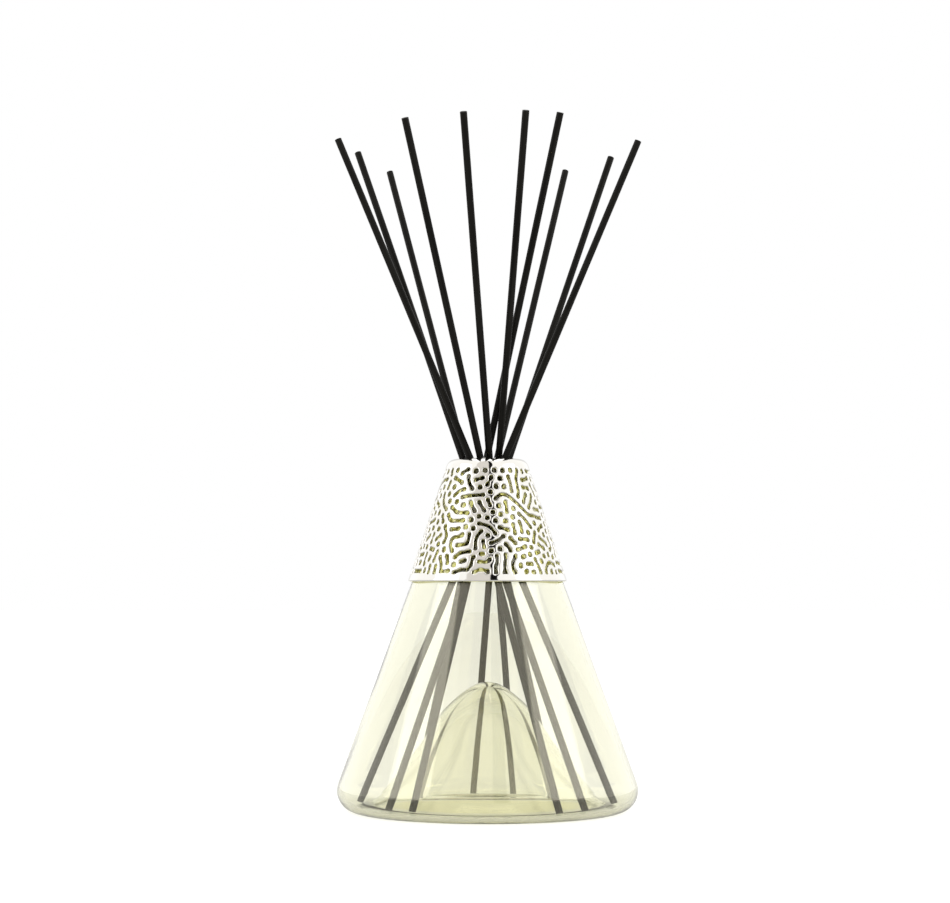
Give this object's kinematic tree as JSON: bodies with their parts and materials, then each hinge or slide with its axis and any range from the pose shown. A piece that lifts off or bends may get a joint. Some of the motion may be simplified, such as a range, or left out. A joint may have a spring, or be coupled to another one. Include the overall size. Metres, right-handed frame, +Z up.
{
  "type": "reed diffuser",
  "caption": "Conical blown-glass reed diffuser with a hollow kick-up base, a perforated metal collar round its neck and a fan of slim black reeds.",
  "frame": {"origin": "centre of the foot ring, in the plane the bottle stands on", "axes": "+Z up along the bottle's axis; -Y towards the front"},
  "size_m": [0.1285, 0.1252, 0.2847],
  "materials": {
    "bottle_glass": "clear, pale yellow-green",
    "collar_chrome": "polished",
    "gasket_rubber": "matt",
    "reed_black": "dyed black, satin"
  },
  "bodies": {
    "bottle": {"glass_bottle": "bottle_glass"},
    "collar": {"perforated_collar": "collar_chrome", "rim_gasket": "gasket_rubber"},
    "reed_1": {"reed_1": "reed_black"},
    "reed_2": {"reed_2": "reed_black"},
    "reed_3": {"reed_3": "reed_black"},
    "reed_4": {"reed_4": "reed_black"},
    "reed_5": {"reed_5": "reed_black"},
    "reed_6": {"reed_6": "reed_black"},
    "reed_7": {"reed_7": "reed_black"},
    "reed_8": {"reed_8": "reed_black"},
    "reed_9": {"reed_9": "reed_black"},
    "reed_10": {"reed_10": "reed_black"}
  },
  "joints": [
    {"name": "collar_turn", "type": "hinge", "parent": "bottle", "child": "collar", "pos_m": [0, 0, 0.12], "axis": [0, 0, 1], "continuous": true},
    {"name": "reed_1_pull", "type": "slide", "parent": "bottle", "child": "reed_1", "axis": [-0.3825, 0.0147, 0.9238], "range_m": [0, 0.165]},
    {"name": "reed_2_pull", "type": "slide", "parent": "bottle", "child": "reed_2", "axis": [-0.316, 0.2107, 0.9251], "range_m": [0, 0.165]},
    {"name": "reed_3_pull", "type": "slide", "parent": "bottle", "child": "reed_3", "axis": [-0.2389, 0.3312, 0.9128], "range_m": [0, 0.165]},
    {"name": "reed_4_pull", "type": "slide", "parent": "bottle", "child": "reed_4", "axis": [-0.2067, -0.3284, 0.9216], "range_m": [0, 0.165]},
    {"name": "reed_5_pull", "type": "slide", "parent": "bottle", "child": "reed_5", "axis": [-0.0712, -0.3667, 0.9276], "range_m": [0, 0.165]},
    {"name": "reed_6_pull", "type": "slide", "parent": "bottle", "child": "reed_6", "axis": [0.0729, -0.3522, 0.9331], "range_m": [0, 0.165]},
    {"name": "reed_7_pull", "type": "slide", "parent": "bottle", "child": "reed_7", "axis": [0.2027, -0.2826, 0.9376], "range_m": [0, 0.165]},
    {"name": "reed_8_pull", "type": "slide", "parent": "bottle", "child": "reed_8", "axis": [0.2153, 0.3353, 0.9172], "range_m": [0, 0.165]},
    {"name": "reed_9_pull", "type": "slide", "parent": "bottle", "child": "reed_9", "axis": [0.3106, 0.2314, 0.9219], "range_m": [0, 0.165]},
    {"name": "reed_10_pull", "type": "slide", "parent": "bottle", "child": "reed_10", "axis": [0.3873, 0.0045, 0.9219], "range_m": [0, 0.165]}
  ]
}
